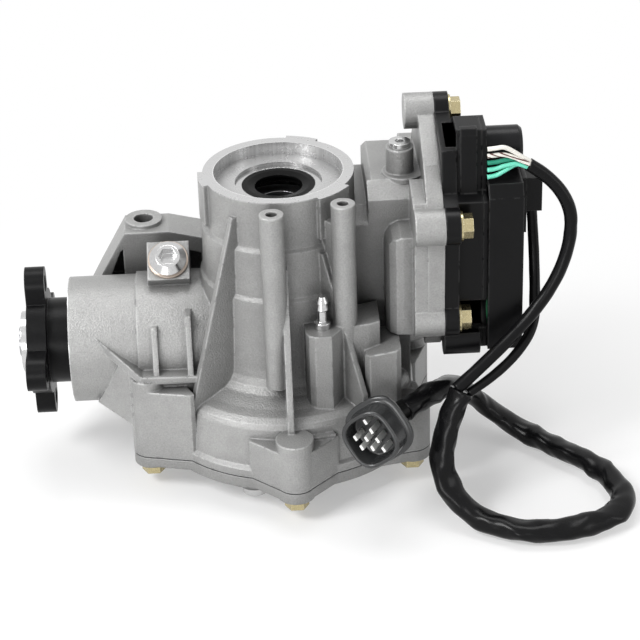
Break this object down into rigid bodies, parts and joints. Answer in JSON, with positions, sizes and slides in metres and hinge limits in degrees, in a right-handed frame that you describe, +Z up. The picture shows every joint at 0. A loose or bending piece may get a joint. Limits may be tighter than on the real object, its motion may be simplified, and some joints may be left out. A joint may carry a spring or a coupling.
{
  "type": "front gear case",
  "caption": "Front differential gear case: cast bowl and collar, side input with four-ear flange, ring and pinion, bevel differential, sliding lock and motor shift drive with a plug-ended loom.",
  "frame": {"origin": "centre of the lower axle collar's opening, where the lower hub ends", "axes": "+Z up the axle line out of the upper collar, -X out of the input flange, +X towards the shift drive, -Y towards the drilled pillars"},
  "size_m": [0.372, 0.2372, 0.23],
  "materials": {
    "cast_aluminium": "sand-cast, bead blasted",
    "gasket_paper": "matt",
    "yellow_zinc": "yellow zinc plate",
    "bright_steel": "turned",
    "bearing_steel": "ground",
    "gear_steel": "case hardened",
    "carrier_iron": "machined casting",
    "seal_rubber": "satin",
    "copper_washer": "flat",
    "black_flange": "satin black",
    "black_housing": "satin black",
    "motor_shell": "satin black",
    "drive_gear": "moulded",
    "drive_steel": "machined",
    "board": "laminate",
    "plug_plastic": "grey",
    "pin_metal": "tinned",
    "white_wire": "insulation",
    "green_wire": "insulation",
    "mint_wire": "insulation",
    "loom_black": "satin"
  },
  "bodies": {
    "case": {"main_housing": "cast_aluminium", "side_cover": "cast_aluminium", "cover_gasket": "gasket_paper", "cover_bolts": "yellow_zinc", "actuator_bolts": "yellow_zinc", "upper_seal_case": "bright_steel", "lower_seal_case": "bright_steel", "filler_plug": "bright_steel", "drain_plug": "bright_steel", "vent_nipple": "bright_steel", "detent_screw": "bright_steel", "carrier_bearing_lower_outer_ring": "bearing_steel", "carrier_bearing_upper_outer_ring": "bearing_steel", "pinion_bearing_inner_outer_ring": "bearing_steel", "pinion_bearing_outer_outer_ring": "bearing_steel", "upper_seal_lip": "seal_rubber", "lower_seal_lip": "seal_rubber", "input_oil_seal": "seal_rubber", "connector_boot": "seal_rubber", "filler_washer": "copper_washer", "actuator_base": "black_housing", "gear_cover": "black_housing", "actuator_cover": "black_housing", "lead_bracket": "black_housing", "motor_can": "motor_shell", "control_board": "board", "connector_shell": "plug_plastic", "connector_pins": "pin_metal", "wire_white": "white_wire", "wire_white_striped": "white_wire", "wire_dark_green": "green_wire", "wire_mint_upper": "mint_wire", "wire_mint_lower": "mint_wire", "sheath_cable": "loom_black", "second_lead": "loom_black", "main_sleeve": "loom_black"},
    "carrier": {"carrier": "carrier_iron", "cross_pin": "bright_steel", "ring_gear": "gear_steel", "ring_gear_bolts": "gear_steel", "carrier_bearing_lower_inner_ring": "bearing_steel", "carrier_bearing_upper_inner_ring": "bearing_steel"},
    "lower_rollers": {"carrier_bearing_lower_rollers": "bearing_steel"},
    "upper_rollers": {"carrier_bearing_upper_rollers": "bearing_steel"},
    "pinion": {"pinion_shaft": "gear_steel", "pinion_bearing_inner_inner_ring": "bearing_steel", "pinion_bearing_outer_inner_ring": "bearing_steel", "input_flange": "black_flange", "flange_nut": "bright_steel"},
    "inner_pinion_rollers": {"pinion_bearing_inner_rollers": "bearing_steel"},
    "outer_pinion_rollers": {"pinion_bearing_outer_rollers": "bearing_steel"},
    "upper_side_gear": {"side_gear_upper": "gear_steel"},
    "lower_side_gear": {"side_gear_lower": "gear_steel"},
    "front_spider": {"spider_gear_front": "gear_steel"},
    "rear_spider": {"spider_gear_rear": "gear_steel"},
    "lock_sleeve": {"lock_sleeve": "gear_steel"},
    "shift_fork": {"shift_fork": "gear_steel"},
    "output_gear": {"output_gear_shaft": "drive_steel"},
    "idler": {"idler_gear": "drive_gear"},
    "armature": {"motor_armature": "drive_steel"}
  },
  "joints": [
    {"name": "carrier_spin", "type": "hinge", "parent": "case", "child": "carrier", "pos_m": [0, 0, 0.082], "axis": [0, 0, 1], "continuous": true},
    {"name": "lower_rollers_spin", "type": "hinge", "parent": "case", "child": "lower_rollers", "pos_m": [0, 0, 0.029], "axis": [0, 0, 1], "continuous": true},
    {"name": "upper_rollers_spin", "type": "hinge", "parent": "case", "child": "upper_rollers", "pos_m": [0, 0, 0.131], "axis": [0, 0, 1], "continuous": true},
    {"name": "pinion_spin", "type": "hinge", "parent": "case", "child": "pinion", "pos_m": [-0.1, 0, 0.082], "axis": [1, 0, 0], "continuous": true},
    {"name": "inner_pinion_rollers_spin", "type": "hinge", "parent": "case", "child": "inner_pinion_rollers", "pos_m": [-0.069, 0, 0.082], "axis": [1, 0, 0], "continuous": true},
    {"name": "outer_pinion_rollers_spin", "type": "hinge", "parent": "case", "child": "outer_pinion_rollers", "pos_m": [-0.103, 0, 0.082], "axis": [1, 0, 0], "continuous": true},
    {"name": "upper_side_gear_spin", "type": "hinge", "parent": "carrier", "child": "upper_side_gear", "pos_m": [0, 0, 0.079], "axis": [0, 0, 1], "continuous": true},
    {"name": "lower_side_gear_spin", "type": "hinge", "parent": "carrier", "child": "lower_side_gear", "pos_m": [0, 0, 0.079], "axis": [0, 0, 1], "continuous": true},
    {"name": "front_spider_spin", "type": "hinge", "parent": "carrier", "child": "front_spider", "pos_m": [0, 0, 0.079], "axis": [0, 1, 0], "continuous": true},
    {"name": "rear_spider_spin", "type": "hinge", "parent": "carrier", "child": "rear_spider", "pos_m": [0, 0, 0.079], "axis": [0, 1, 0], "continuous": true},
    {"name": "lock_sleeve_slide", "type": "slide", "parent": "upper_side_gear", "child": "lock_sleeve", "axis": [0, 0, -1], "range_m": [0, 0.004]},
    {"name": "shift_fork_slide", "type": "slide", "parent": "case", "child": "shift_fork", "axis": [0, 0, -1], "range_m": [0, 0.004]},
    {"name": "output_turn", "type": "hinge", "parent": "case", "child": "output_gear", "pos_m": [0.09, 0.0125, 0.16], "axis": [1, 0, 0], "range_deg": [0, 30]},
    {"name": "idler_turn", "type": "hinge", "parent": "case", "child": "idler", "pos_m": [0.11, 0.00295, 0.19106], "axis": [1, 0, 0], "range_deg": [-127, 0]},
    {"name": "armature_turn", "type": "hinge", "parent": "case", "child": "armature", "pos_m": [0.13, -0.013, 0.209], "axis": [1, 0, 0], "range_deg": [0, 480]}
  ],
  "couplings": [
    {"joint": "lower_rollers_spin", "follows": "carrier_spin", "ratio": 0.4273},
    {"joint": "upper_rollers_spin", "follows": "carrier_spin", "ratio": 0.4273},
    {"joint": "pinion_spin", "follows": "carrier_spin", "ratio": -2},
    {"joint": "inner_pinion_rollers_spin", "follows": "carrier_spin", "ratio": -0.8566},
    {"joint": "outer_pinion_rollers_spin", "follows": "carrier_spin", "ratio": -0.8566},
    {"joint": "lower_side_gear_spin", "follows": "upper_side_gear_spin", "ratio": -1},
    {"joint": "front_spider_spin", "follows": "upper_side_gear_spin", "ratio": 1.6667},
    {"joint": "rear_spider_spin", "follows": "upper_side_gear_spin", "ratio": -1.6667},
    {"joint": "shift_fork_slide", "follows": "output_turn", "m_per_rad": 0.0075},
    {"joint": "lock_sleeve_slide", "follows": "output_turn", "m_per_rad": 0.0075},
    {"joint": "idler_turn", "follows": "output_turn", "ratio": -4.2},
    {"joint": "armature_turn", "follows": "output_turn", "ratio": 15.96}
  ]
}
